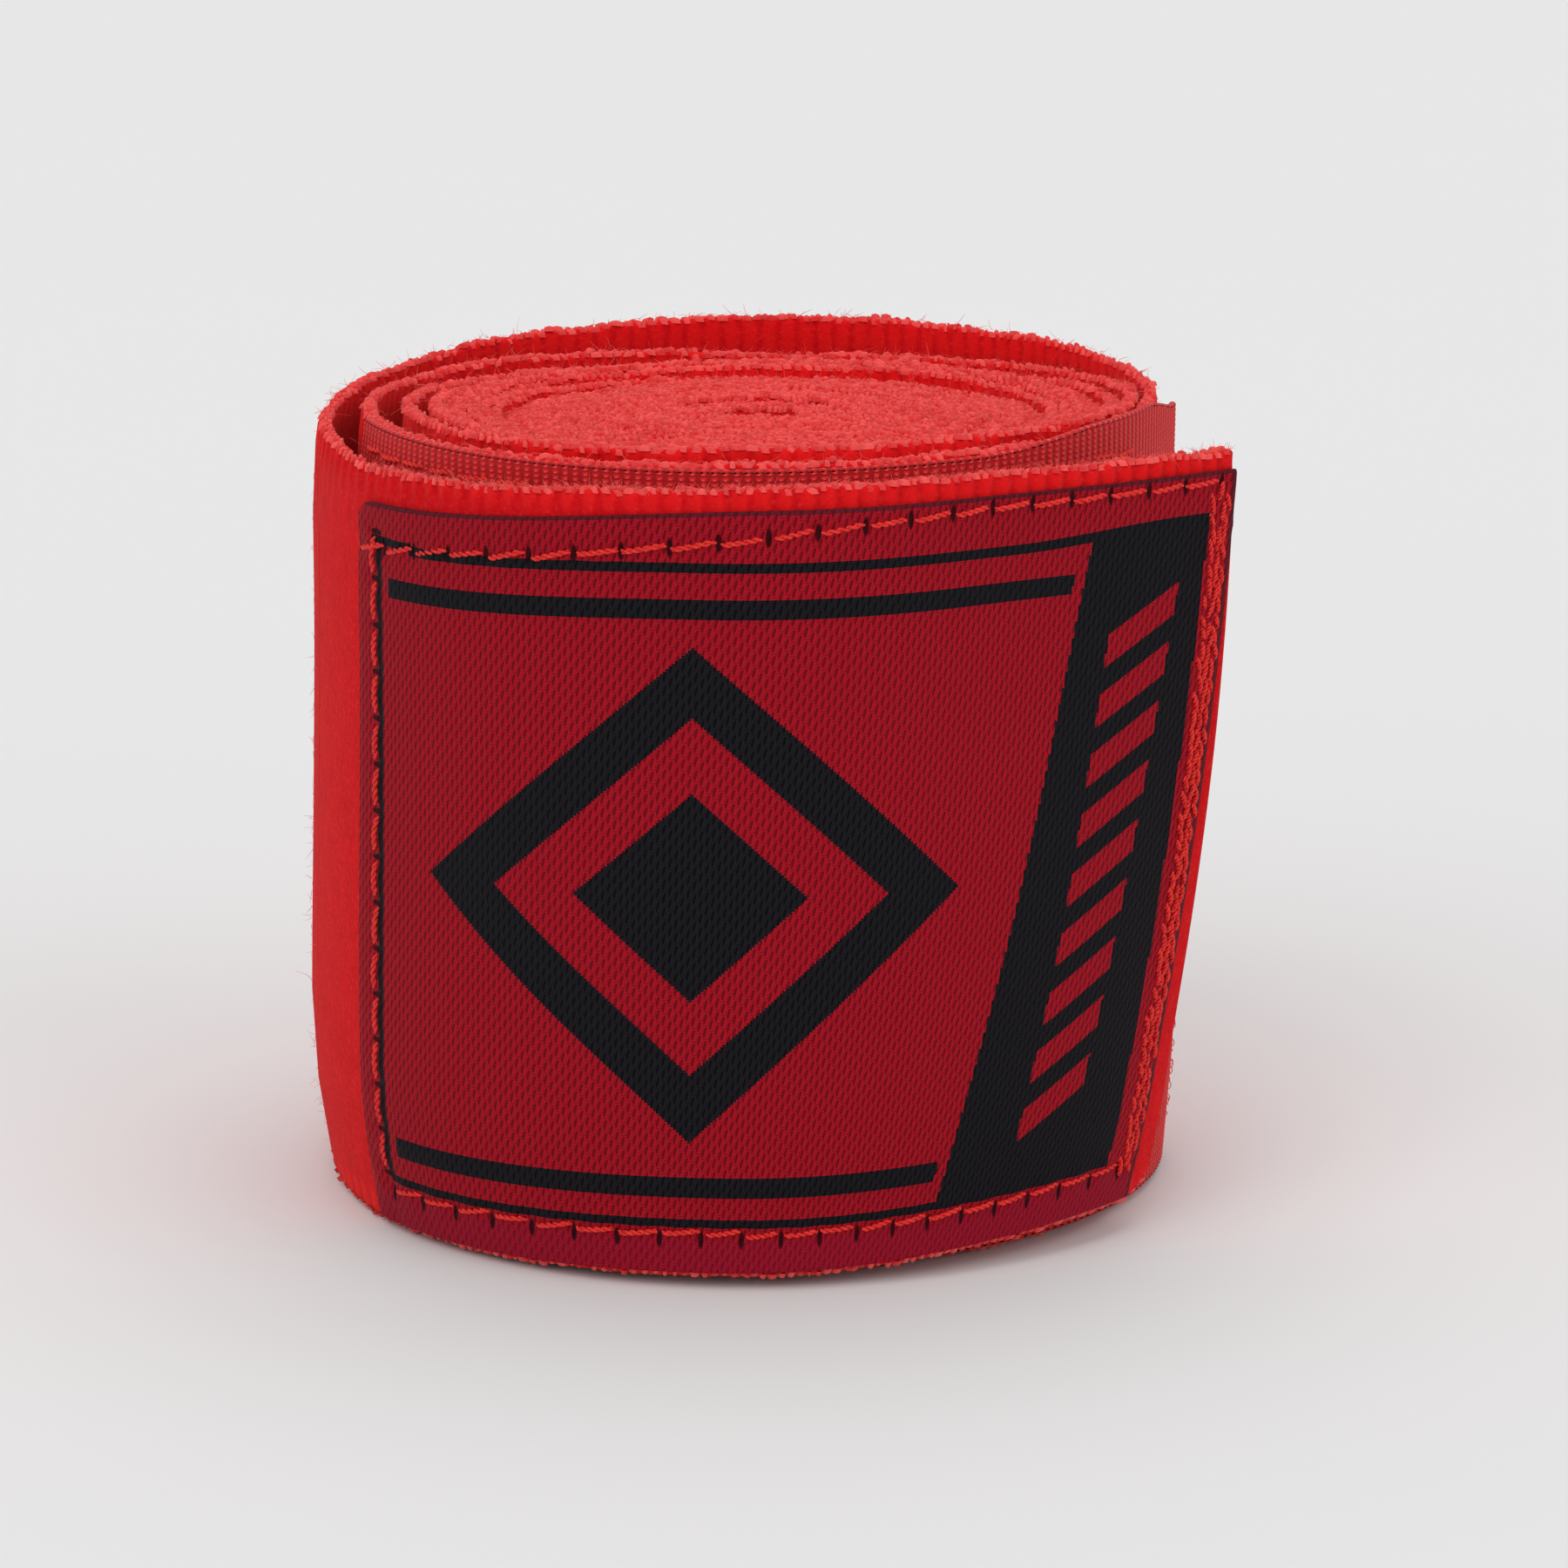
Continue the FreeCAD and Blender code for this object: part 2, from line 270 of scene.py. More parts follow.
def roll_top(s):
    """Height of the band's upper edge: the rim of the loose outer turns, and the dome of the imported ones."""
    point, _ = ROLL.at(s)
    radius = np.hypot(point[..., 0], point[..., 1])
    turned = ROLL.turned_at(s)
    back = ROLL.turned[-1] - turned
    tilt = -0.45 * point[..., 1] / 22.0
    turn_shift = 0.14 * np.sin(turned / 360 * 2.4) * np.sin(turned / 360 * 7.7 + 1.0)
    dome = np.interp(radius, DOME_RADIUS, DOME_TOP) + tilt + turn_shift
    rim = np.interp(back, RIM_BACK, RIM_TOP)
    ripple = 0.05 * np.sin(s / 2.3) + 0.04 * np.sin(s / 0.97 + 2)
    share = smooth(1200, 1550, back)
    return dome * share + rim * (1 - share) + ripple


def roll_bottom(s):
    turned = ROLL.turned_at(s)
    back = ROLL.turned[-1] - turned
    inner = 0.45 + 0.25 * np.sin(turned / 360 * 5.1) + 0.15 * np.sin(np.radians(turned) + 1)
    return inner * smooth(250, 420, back) + 0.04 * (1 + np.sin(s / 1.7))


def tab_top(s):
    rim = np.interp(s, [0, 8, 16, 28, 42, TAB_LENGTH], [48.6, 48.0, 48.2, 48.8, 49.1, 48.9])
    return rim + 0.04 * np.sin(s / 1.9) + 0.03 * np.sin(s / 0.8)


def tab_bottom(s):
    return 0.03 * (1 + np.sin(s / 1.7)) + 1.5 * smooth(69.5, 72.0, s)


# ---- mesh building ------------------------------------------------------------------------------------
def new_piece(name, verts, faces, uv, material, tint=None):
    """A mesh from points in millimetres, arrays of faces and cloth coordinates.

    Faces with more than four corners are end caps, and stay flat.
    """
    verts = np.asarray(verts, float).reshape(-1, 3) * MM
    uv = np.asarray(uv, float).reshape(-1, 2) * MM
    loops = np.concatenate([f.ravel() for f in faces])
    sizes = np.concatenate([np.full(len(f), f.shape[1]) for f in faces])
    mesh = bpy.data.meshes.new(name)
    mesh.vertices.add(len(verts))
    mesh.vertices.foreach_set("co", verts.ravel())
    mesh.loops.add(len(loops))
    mesh.loops.foreach_set("vertex_index", loops)
    mesh.polygons.add(len(sizes))
    mesh.polygons.foreach_set("loop_start", np.cumsum(sizes) - sizes)
    mesh.polygons.foreach_set("use_smooth", sizes <= 4)
    mesh.update(calc_edges=True)
    layer = mesh.uv_layers.new(name="cloth")
    layer.data.foreach_set("uv", uv[loops].ravel())
    if tint is not None:
        mesh.attributes.new("tint", "FLOAT", "POINT").data.foreach_set("value", np.ravel(tint))
    mesh.materials.append(material)
    piece = bpy.data.objects.new(name, mesh)
    bpy.context.scene.collection.objects.link(piece)
    return piece


def strip_section(rows, roundness):
    """A strip's outline: offset and step in from the edges, in half thicknesses, and share of the height."""
    turn = np.linspace(0, math.pi, 6)
    cap_offset = np.sign(np.cos(turn)) * np.abs(np.cos(turn)) ** roundness
    cap_inset = 1 - np.sin(turn)
    rows = np.asarray(rows)
    sides = np.ones(len(rows))
    offset = np.concatenate([sides, cap_offset, -sides, -cap_offset])
    share = np.concatenate([rows, np.ones(6), rows[::-1], np.zeros(6)])
    inset = np.concatenate([0 * rows, -cap_inset, 0 * rows, cap_inset])
    return offset, share, inset


def strip(
    name, place, s, rows, inner, outer, low, high, material, roundness=1.0, relief=None, swell=None
):
    """A closed strip of cloth between two offsets and two heights, along the stations s."""
    offset, share, inset = strip_section(rows, roundness)
    half = (outer - inner) / 2
    s2 = np.broadcast_to(s[:, None], (len(s), len(offset)))
    low = np.broadcast_to(low, s.shape)[:, None]
    high = np.broadcast_to(high, s.shape)[:, None]
    z = low + share * (high - low) + inset * half
    reach = np.broadcast_to((inner + outer) / 2 + offset * half, z.shape)
    if swell is not None:
        out, into = swell(s2, z)
        reach = reach + np.clip(offset, 0, 1) * out - np.clip(-offset, 0, 1) * into
    if relief is not None:
        reach = reach + relief(s2, z) * (offset > 0.99)
    verts = place(s2, reach, z)
    index = np.arange(verts[..., 0].size).reshape(z.shape)
    a, b = index[:-1], index[1:]
    quads = np.stack([a, b, np.roll(b, -1, 1), np.roll(a, -1, 1)], -1).reshape(-1, 4)
    caps = [index[:1], index[-1:, ::-1]]
    return new_piece(name, verts, [quads] + caps, np.stack([s2, z], -1), material)


def tubes(name, place, lines, radius, sides, material, tint=None, taper=0.0):
    """Round threads along lines of (s, offset, z) points, laid on the cloth by place."""
    count, steps, _ = lines.shape
    along = np.gradient(lines, axis=1)
    along /= np.linalg.norm(along, axis=-1, keepdims=True) + 1e-9
    helper = np.where(np.abs(along[..., 1:2]) < 0.8, (0.0, 1.0, 0.0), (0.0, 0.0, 1.0))
    across = np.cross(along, helper)
    across /= np.linalg.norm(across, axis=-1, keepdims=True)
    other = np.cross(along, across)
    angle = np.arange(sides) * 2 * math.pi / sides
    size = np.broadcast_to(radius, (count,))[:, None, None, None]
    size = size * (1 - taper * np.linspace(0, 1, steps) ** 2)[None, :, None, None]
    ring = across[:, :, None] * np.cos(angle)[:, None] + other[:, :, None] * np.sin(angle)[:, None]
    flat = lines[:, :, None] + ring * size
    verts = place(flat[..., 0], flat[..., 1], flat[..., 2])
    index = np.arange(count * steps * sides).reshape(count, steps, sides)
    a, b = index[:, :-1], index[:, 1:]
    quads = np.stack([a, b, np.roll(b, -1, 2), np.roll(a, -1, 2)], -1).reshape(-1, 4)
    caps = [index[:, 0, ::-1], index[:, -1]]
    uv = flat[..., [0, 2]]
    if tint is not None:
        tint = np.broadcast_to(np.asarray(tint)[:, None, None], index.shape)
    return new_piece(name, verts, [quads] + caps, uv, material, tint)


def stitch_lines(start, end, base, rise, strand):
    """One ply of each two-ply stitch, from (s, z) to (s, z), sunk into the cloth at both ends."""
    twist, spread, sunk = 2.5, 0.10, 0.22
    t = np.linspace(0, 1, 15)
    flat = start[:, None] + (end - start)[:, None] * t[:, None]
    arch = base - sunk + (rise + sunk) * np.sin(math.pi * t) ** 0.45
    phase = 2 * math.pi * (twist * t + strand / 2)
    heading = end - start
    heading = heading / np.linalg.norm(heading, axis=1, keepdims=True)
    side = np.stack([-heading[:, 1], heading[:, 0]], -1)
    sway = spread * np.cos(phase)[None, :, None] * side[:, None]
    flat = flat + sway
    offset = np.broadcast_to(arch + spread * np.sin(phase), flat.shape[:2])
    return np.stack([flat[..., 0], offset, flat[..., 1]], -1)


def seam(name, place, start, end, base, material, rise=0.10, thickness=0.10):
    """Separate two-ply stitches, each from start to end with a little unevenness."""
    uneven = 0.08
    start = start + rng.normal(0, uneven, start.shape)
    end = end + rng.normal(0, uneven, end.shape)
    plies = [stitch_lines(start, end, base, rise, strand) for strand in (0, 1)]
    return tubes(name, place, np.concatenate(plies), thickness, 6, material)


def grain_rows(s, out=0.0, into=0.0):
    """Places of the yarn tufts along an edge: three rows, and more where the cloth is swollen."""
    pitch = np.abs(np.gradient(s))
    out = HALF + np.broadcast_to(out, s.shape)
    into = HALF + np.broadcast_to(into, s.shape)
    count = np.maximum(3, np.round((out + into) / 0.27).astype(int))
    index = np.repeat(np.arange(len(s)), count)
    row = np.arange(len(index)) - np.repeat(np.cumsum(count) - count, count)
    across = (row + 0.5) * (out + into)[index] / count[index] - into[index]
    return s[index] + pitch[index] / 2 * (row % 2), across, pitch[index], row % 2


def knit_edge(name, place, grains, height, material, up):
    """Rows of small slanted yarn tufts along a cut or knitted edge of the band."""
    s, middle, pitch, odd = grains
    slant = np.radians((1 - 2 * odd) * 24 + rng.normal(0, 26, len(s)))
    length = pitch * 0.58 * rng.uniform(0.65, 1.25, len(s))
    width = 0.165 * rng.uniform(0.75, 1.3, len(s))
    side = np.arange(5) * math.pi / 2.5
    rings = ((1, -0.2), (0.72, 0.08))
    shape = [np.stack([k * np.cos(side), k * np.sin(side), np.full(5, h)], -1) for k, h in rings]
    shape = np.concatenate(shape + [[[0, 0, 0.17]]])
    x = shape[:, 0] * length[:, None]
    y = shape[:, 1] * width[:, None]
    along = x * np.cos(slant)[:, None] - y * np.sin(slant)[:, None]
    across = x * np.sin(slant)[:, None] + y * np.cos(slant)[:, None]
    across = across + (middle + rng.normal(0, 0.03, len(s)))[:, None]
    sunk = 0.02 if up > 0 else 0.12
    z = height(s)[:, None] + up * (shape[:, 2] + rng.normal(0, 0.07, len(s))[:, None] - sunk)
    verts = place(s[:, None] + along, across, z)
    first = np.arange(len(s))[:, None, None] * len(shape)
    ring = np.arange(5)
    around = np.stack([ring, (ring + 1) % 5, (ring + 1) % 5 + 5, ring + 5], -1)
    tip = np.stack([ring + 5, (ring + 1) % 5 + 5, np.full(5, 10)], -1)
    quads = (first + around).reshape(-1, 4)
    tris = (first + tip).reshape(-1, 3)
    if up * on_right(place) < 0:
        quads, tris = quads[:, ::-1], tris[:, ::-1]
    uv = np.stack([s[:, None] + along, z], -1)
    tint = np.repeat(rng.uniform(0, 1, len(s)), len(shape))
    return new_piece(name, verts, [quads, tris], uv, material, tint)


def on_right(place):
    """+1 where (s, offset, z) is right-handed once laid out, else -1."""
    here = place(np.array([20.0, 20.5, 20.0]), np.array([0.0, 0.0, 0.5]), np.array([25.0, 25.0, 25.0]))
    along, out = here[1] - here[0], here[2] - here[0]
    return 1 if along[0] * out[1] - along[1] * out[0] > 0 else -1


def lint(name, place, s, offset, z, heading, length, radius, material):
    """Loose fibres: each leaves its root along heading, and curls."""
    steps = 5
    t = np.linspace(0, 1, steps)[None, :, None]
    bend = rng.normal(0, 0.55, (len(s), 3))
    reach = heading[:, None] * t + bend[:, None] * t**2 * 0.7
    roots = np.stack([s, offset, z], -1)
    lines = roots[:, None] + reach * length[:, None, None]
    tint = rng.uniform(0, 1, len(s))
    return tubes(name, place, lines, radius, 3, material, tint, taper=0.6)


# ---- materials ----------------------------------------------------------------------------------------
class Cloth:
    """A node material with short words for the nodes it needs."""

    def __init__(self, name, roughness, specular, sheen=0.0, sheen_tint=(1, 1, 1)):
        self.material = bpy.data.materials.new(name)
        self.material.use_nodes = True
        self.tree = self.material.node_tree
        self.shader = self.tree.nodes["Principled BSDF"]
        self.set(self.shader, "Roughness", roughness)
        self.set(self.shader, "Sheen Weight", sheen)
        self.set(self.shader, "Sheen Roughness", 0.45)
        self.set(self.shader, "Sheen Tint", (*sheen_tint, 1))
        self.set(self.shader, "Specular IOR Level", specular)

    def set(self, node, socket, value):
        if isinstance(value, bpy.types.NodeSocket):
            self.tree.links.new(value, node.inputs[socket])
        else:
            node.inputs[socket].default_value = value

    def math(self, operation, a, b=0.0, c=0.0):
        node = self.tree.nodes.new("ShaderNodeMath")
        node.operation = operation
        for i, value in enumerate((a, b, c)):
            self.set(node, i, value)
        return node.outputs[0]

    def total(self, *values):
        result = values[0]
        for value in values[1:]:
            result = self.math("ADD", result, value)
        return result

    def times(self, *values):
        result = values[0]
        for value in values[1:]:
            result = self.math("MULTIPLY", result, value)
        return result

    def wave(self, value, period):
        """A cosine from 0 to 1 of the given period."""
        turn = self.math("MULTIPLY", value, 2 * math.pi / period)
        return self.math("MULTIPLY_ADD", self.math("COSINE", turn), 0.5, 0.5)

    def ramp(self, value, low, high):
        """0 below low, 1 above high, and smooth between them."""
        node = self.tree.nodes.new("ShaderNodeMapRange")
        node.interpolation_type = "SMOOTHSTEP"
        self.set(node, "Value", value)
        self.set(node, "From Min", low)
        self.set(node, "From Max", high)
        return node.outputs["Result"]

    def cloth(self):
        """The two cloth coordinates in millimetres, along and across the band."""
        node = self.tree.nodes.new("ShaderNodeUVMap")
        node.uv_map = "cloth"
        parts = self.tree.nodes.new("ShaderNodeSeparateXYZ")
        self.tree.links.new(node.outputs[0], parts.inputs[0])
        return self.times(parts.outputs[0], 1000.0), self.times(parts.outputs[1], 1000.0)

    def noise(self, size, detail, rough=0.55):
        """Noise from 0 to 1 whose blobs are about size millimetres across."""
        node = self.tree.nodes.new("ShaderNodeTexNoise")
        self.set(node, "Vector", self.tree.nodes.new("ShaderNodeTexCoord").outputs["Object"])
        self.set(node, "Scale", 0.5 / (size * MM))
        self.set(node, "Detail", detail)
        self.set(node, "Roughness", rough)
        return node.outputs["Fac"]

    def tint(self):
        node = self.tree.nodes.new("ShaderNodeAttribute")
        node.attribute_name = "tint"
        return node.outputs["Fac"]

    def mix(self, share, a, b):
        node = self.tree.nodes.new("ShaderNodeMix")
        node.data_type = "RGBA"
        self.set(node, 0, share)
        self.set(node, 6, a if isinstance(a, bpy.types.NodeSocket) else (*a, 1))
        self.set(node, 7, b if isinstance(b, bpy.types.NodeSocket) else (*b, 1))
        return node.outputs[2]

    def finish(self, color, height=None, depth=0.1, strength=1.0):
        """Colour, and relief whose full height is depth millimetres."""
        self.set(self.shader, "Base Color", color)
        if height is not None:
            node = self.tree.nodes.new("ShaderNodeBump")
            self.set(node, "Strength", strength)
            self.set(node, "Distance", depth * MM)
            self.set(node, "Height", height)
            self.tree.links.new(node.outputs[0], self.shader.inputs["Normal"])
        return self.material


def band_material():
    """Brushed elastic cotton: a felted nap, with soft ribs only along the edges."""
    c = Cloth("band_knit", 0.95, sheen=0.13, sheen_tint=(1.0, 0.36, 0.33), specular=0.05)
    u, v = c.cloth()
    wander = c.noise(6.0, 1.0)
    rib = c.wave(c.total(u, c.times(wander, 0.5)), RIB_PITCH)
    near_edge = c.math("MAXIMUM", c.ramp(v, 47.0, 48.4), c.math("SUBTRACT", 1.0, c.ramp(v, 1.0, 2.2)))
    nap = c.noise(0.16, 5.0, 0.7)
    coarse = c.noise(0.8, 3.0, 0.6)
    broad = c.noise(9.0, 2.0, 0.5)
    height = c.total(c.times(rib, near_edge, 0.55), c.times(nap, 0.8), c.times(coarse, 0.4))
    # Painted shade: darker red in the low parts of the ribs and nap, along with the nap's own mottle.
    color = c.mix(c.ramp(height, 0.3, 0.95), DEEP_RED, RED)
    color = c.mix(c.times(c.ramp(nap, 0.54, 0.74), 0.22), color, PINK)
    color = c.mix(c.times(c.ramp(broad, 0.45, 0.75), 0.2), color, FADED_RED)
    return c.finish(color, height, depth=0.16, strength=0.8)


def yarn_material():
    """The yarn tufts along the band's edges."""
    c = Cloth("edge_yarn", 0.92, sheen=0.5, sheen_tint=(1.0, 0.42, 0.38), specular=0.06)
    fibre = c.noise(0.14, 4.0, 0.7)
    color = c.mix(c.tint(), YARN_DARK, YARN_LIGHT)
    color = c.mix(c.times(c.ramp(fibre, 0.5, 0.72), 0.5), color, YARN_FIBRE)
    return c.finish(color, fibre, depth=0.12, strength=0.8)


def lint_material():
    c = Cloth("lint", 0.85, sheen=0.5, sheen_tint=(1.0, 0.45, 0.4), specular=0.1)
    return c.finish(c.mix(c.tint(), LINT_DARK, LINT_LIGHT))


def thread_material():
    c = Cloth("red_thread", 0.55, sheen=0.12, sheen_tint=(1.0, 0.5, 0.4), specular=0.25)
    fibre = c.noise(0.12, 4.0, 0.65)
    return c.finish(c.mix(c.ramp(fibre, 0.35, 0.7), THREAD_DARK, THREAD_RED), fibre, depth=0.05)


def tape_material(name, color, light, dot_color, pitch_u, pitch_v):
    """Woven nylon tape: columns of small pale raised dots between darker lines."""
    c = Cloth(name, 0.65, sheen=0.12, sheen_tint=(1.0, 0.5, 0.45), specular=0.3)
    u, v = c.cloth()
    column = c.wave(u, pitch_u)
    dot = c.times(column, c.wave(v, pitch_v))
    height = c.total(c.times(column, 0.5), c.times(dot, 0.6), c.times(c.noise(0.25, 3.0), 0.2))
    ground = c.mix(c.ramp(column, 0.15, 0.6), color, light)
    return c.finish(c.mix(c.times(c.ramp(dot, 0.6, 0.95), 0.5), ground, dot_color), height, depth=0.10)


def inside(c, low, value, high):
    """1 where value lies between low and high."""
    return c.times(c.math("GREATER_THAN", value, low), c.math("LESS_THAN", value, high))


def either(c, *masks):
    result = masks[0]
    for mask in masks[1:]:
        result = c.math("MAXIMUM", result, mask)
    return result


def label_art(c, u, v):
    """Where the label is woven black: frame lines, a nest of lozenges, and a slanting stripe with bars."""
    sagged = c.math("MULTIPLY_ADD", c.ramp(u, *LINE_SPAN), -LINE_SAG, c.math("ADD", v, LINE_SAG))
    level = c.math("MULTIPLY_ADD", c.ramp(u, 45.0, 58.0), -0.6, sagged)
    stripe_left = c.math("MULTIPLY_ADD", v, STRIPE_LEFT_LEAN, STRIPE_LEFT)
    stripe_right = c.math("MULTIPLY_ADD", v, STRIPE_RIGHT_LEAN, STRIPE_RIGHT)
    above = c.math("GREATER_THAN", v, THIN_BOTTOM[0])
    below = c.math("LESS_THAN", level, THIN_TOP[1])
    in_stripe = c.times(inside(c, stripe_left, u, stripe_right), above, below)
    thin_top = c.times(inside(c, THIN_TOP[0], level, THIN_TOP[1]), inside(c, 5.4, u, 54.0))
    thin_bottom = c.times(inside(c, THIN_BOTTOM[0], v, THIN_BOTTOM[1]), inside(c, POST[0], u, 52.0))
    thick_top = inside(c, THICK_TOP[0], sagged, THICK_TOP[1])
    thick_bottom = inside(c, THICK_BOTTOM[0], v, THICK_BOTTOM[1])
    before_stripe = c.math("SUBTRACT", stripe_left, 0.8)
    thick = c.times(either(c, thick_top, thick_bottom), inside(c, 3.4, u, before_stripe))
    post = c.times(inside(c, POST[0], u, POST[1]), inside(c, THIN_BOTTOM[0], v, 42.9))
    start = c.times(inside(c, 42.9, v, 43.4), inside(c, 1.6, u, 5.6))
    dx = c.math("ABSOLUTE", c.math("SUBTRACT", u, LOZENGE_MIDDLE[0]))
    dy = c.math("ABSOLUTE", c.math("SUBTRACT", v, LOZENGE_MIDDLE[1]))
    span = c.total(c.times(dx, 1 / LOZENGE_REACH[0]), c.times(dy, 1 / LOZENGE_REACH[1]))
    lozenge = either(c, inside(c, 0.72, span, 1.0), c.math("LESS_THAN", span, 0.42))
    bar_u = c.math("SUBTRACT", u, c.math("MULTIPLY_ADD", v, 0.105, 51.2))
    bar_v = c.math("MULTIPLY_ADD", bar_u, BAR_SLOPE, v)
    bar = c.math("LESS_THAN", c.math("FRACT", c.times(bar_v, 1 / BAR_PITCH)), BAR_SHARE)
    bars = c.times(bar, inside(c, -BAR_REACH, bar_u, BAR_REACH), inside(c, 7.4, bar_v, 40.6))
    stripe = c.times(in_stripe, c.math("SUBTRACT", 1.0, bars))
    return either(c, stripe, thin_top, thin_bottom, thick, post, start, lozenge)


def hole_mask(c, along, first, across):
    """Painted shade in the needle holes where stitches meet; across is the distance from the seam's line."""
    step = c.math("FRACT", c.math("MULTIPLY_ADD", along, 1 / STITCH_PITCH, 0.5 - first / STITCH_PITCH))
    near = c.times(c.math("ABSOLUTE", c.math("SUBTRACT", step, 0.5)), STITCH_PITCH / 0.20)
    far = c.times(c.math("ABSOLUTE", across), 1 / 0.62)
    distance = c.total(c.times(near, near), c.times(far, far))
    return c.math("SUBTRACT", 1.0, c.ramp(distance, 0.4, 1.15))


def weave(c, u, v, column):
    """Height of the twill: columns of floats, thin leaning gaps beside them, small dips at their ends."""
    along = c.math("FRACT", c.times(c.math("MULTIPLY_ADD", column, WEAVE_STAGGER, v), 1 / WEAVE_V))
    from_middle = c.math("ABSOLUTE", c.math("SUBTRACT", along, 0.5))
    beside = c.ramp(c.wave(c.math("MULTIPLY_ADD", along, -0.22, u), WEAVE_U), 0.5, 0.95)
    gap = c.times(beside, c.math("SUBTRACT", 1.0, c.ramp(from_middle, 0.26, 0.42)))
    dip = c.times(c.ramp(from_middle, 0.42, 0.5), 0.4)
    return c.math("SUBTRACT", 1.0, c.math("MAXIMUM", gap, dip))


def label_material():
    """A damask label: crimson and black twill, woven in columns of short floats."""
    c = Cloth("label_twill", 0.62, sheen=0.02, sheen_tint=(1.0, 0.75, 0.75), specular=0.06)
    s, z = c.cloth()
    u = c.math("SUBTRACT", s, LABEL_START)
    v = c.math("SUBTRACT", z, LABEL_LOW)
    column = c.math("FLOOR", c.times(u, 1 / WEAVE_U))
    thread_u = c.math("MULTIPLY_ADD", c.math("FLOOR", c.times(u, 2 / WEAVE_U)), WEAVE_U / 2, WEAVE_U / 4)
    black = label_art(c, thread_u, v)
    height = weave(c, u, v, column)
    # Painted shade: the crimson twill is darker in its gaps and dips, where the floats shade it.
    crimson = c.mix(height, CRIMSON_GAP, CRIMSON)
    crimson = c.mix(c.times(c.noise(3.0, 3.0), 0.25), crimson, CRIMSON_SHADE)
    low_zone = c.math("SUBTRACT", 1.0, c.ramp(v, 1.5, 2.1))
    crimson = c.mix(c.times(low_zone, 0.45), crimson, CRIMSON_HEM)
    # Painted shade in the black twill's gaps and dips as well.
    color = c.mix(black, crimson, c.mix(height, BLACK_GAP, BLACK))
    top_edge = c.math("MULTIPLY_ADD", c.ramp(u, 0.0, TOP_SPAN), TOP_SAG, LABEL_HEIGHT - TOP_SAG - 0.22)
    edge = either(c, c.math("GREATER_THAN", v, top_edge), c.math("GREATER_THAN", u, LABEL_LENGTH - 0.3))
    color = c.mix(c.times(edge, 0.75), color, LABEL_EDGE)
    row = c.math("MULTIPLY_ADD", c.ramp(u, *ROW_SPAN), ROW_RISE, ROW_HIGH)
    top = hole_mask(c, u, 0.0, c.math("SUBTRACT", v, row))
    bottom = hole_mask(c, u, LOW_FIRST, c.math("SUBTRACT", v, ROW_LOW - 0.4))
    side = hole_mask(c, v, SIDE_LOW, c.math("SUBTRACT", u, SIDE_SEAM + 0.1))
    holes = either(c, top, bottom, c.times(side, c.ramp(v, 2.0, 3.0)))
    # Painted shade in the needle holes.
    color = c.mix(c.times(holes, 0.92), color, STITCH_HOLE)
    height = c.total(height, c.times(black, 0.3), c.times(holes, -1.2), c.times(c.noise(0.2, 3.0), 0.2))
    return c.finish(color, height, depth=0.09)


def floor_material():
    c = Cloth("floor", 0.9, specular=0.2)
    return c.finish(c.mix(c.noise(80.0, 2.0), FLOOR_GREY, tuple(0.99 * k for k in FLOOR_GREY)))


BAND = band_material()
YARN = yarn_material()
LINT = lint_material()
RED_THREAD = thread_material()
LOOP_TAPE = tape_material(
    "loop_tape", (0.44, 0.003, 0.006), (0.70, 0.008, 0.012), (0.90, 0.20, 0.18), LOOP_DOT_U, LOOP_DOT_V
)
HOOK_TAPE = tape_material(
    "hook_tape", (0.15, 0.002, 0.006), (0.42, 0.006, 0.012), (0.50, 0.02, 0.02), 0.50, 0.50
)
THUMB_TAPE = tape_material(
    "thumb_tape", (0.40, 0.003, 0.007), (0.66, 0.008, 0.012), (0.72, 0.03, 0.03), 0.50, 0.60
)
LABEL = label_material()


def attach(piece, body, node=None):
    """Declare a piece's body and the CAD node that it replaces."""
    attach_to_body(piece, body)
    if node:
        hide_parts(node)


def headings(count, spread, lean):
    """Random unit directions of loose fibres."""
    way = rng.normal(0, 1, (count, 3)) * spread + lean
    return way / np.linalg.norm(way, axis=1, keepdims=True)


# ---- pieces on the roll -------------------------------------------------------------------------------
def spaced(start, end, step):
    """Stations from start to end, about step(s) apart."""
    stations = [start]
    while stations[-1] < end - step(end) * 0.6:
        stations.append(stations[-1] + float(step(stations[-1])))
    stations = np.array(stations)
    return start + (stations - start) * (end - start) / (stations[-1] - start)


def roll_radius(s):
    point, _ = ROLL.at(np.asarray(s, float))
    return np.hypot(point[..., 0], point[..., 1])


def roll_step(s):
    """Spacing of the band's stations: close on the outer turn, wider with the radius inside it."""
    outside = smooth(ROLL.total - 190, ROLL.total - 178, s)
    return (0.30 + 0.05 * roll_radius(s)) * (1 - outside) + 0.24 * outside


def band_relief(s, z):
    """Soft ribs along the upper edge, and slow unevenness."""
    rib = 0.10 * np.cos(2 * math.pi * s / RIB_PITCH) * smooth(46.2, 47.6, z)
    slow = 0.07 * np.sin(s / 7.1 + 0.05 * z) * np.sin(z / 11.0 + s / 23.0)
    return rib + slow


def turn_gap(s, way):
    """How far the cloth can swell towards the next turn outwards (way 1) or inwards (way -1)."""
    turned = ROLL.turned_at(s)
    here, _ = ROLL.at(s)
    there, _ = ROLL.at(np.interp(turned + way * 360, ROLL.turned, ROLL.knots))
    gap = np.linalg.norm(there - here, axis=-1) / 2 - HALF - 0.05
    first = ROLL.turned[2 if way > 0 else 4]
    return np.clip(gap, 0, 0.72) * smooth(first, first + 60, turned)


